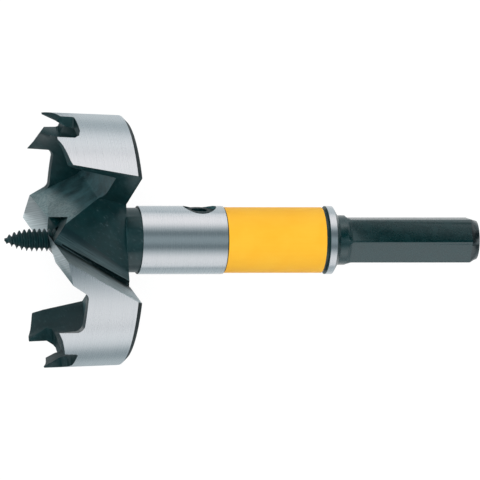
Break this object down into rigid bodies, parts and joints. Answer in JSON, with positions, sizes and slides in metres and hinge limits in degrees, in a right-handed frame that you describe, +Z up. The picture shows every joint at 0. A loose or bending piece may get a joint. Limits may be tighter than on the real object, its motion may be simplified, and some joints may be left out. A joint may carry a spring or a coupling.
{
  "type": "self-feed drill bit",
  "caption": "Self-feed wood boring bit: toothed open head, threaded centre screw, ground round body with a colour band, and hex shank.",
  "frame": {"origin": "on the resting surface, under the middle of the bit's box", "axes": "+X along the length, from the centre screw towards the hex shank; +Z up as the bit lies on its two wings and its shank end; +Y across the head"},
  "size_m": [0.1208, 0.065, 0.0627],
  "materials": {
    "cutter_body": "ground bright outside, black oxide in the flutes and on the shank",
    "feed_screw": "black oxide",
    "set_screw": "black oxide",
    "colour_band": "satin yellow label"
  },
  "bodies": {
    "root": {"cutter_body": "cutter_body", "feed_screw": "feed_screw", "set_screw": "set_screw", "colour_band": "colour_band"}
  },
  "joints": []
}
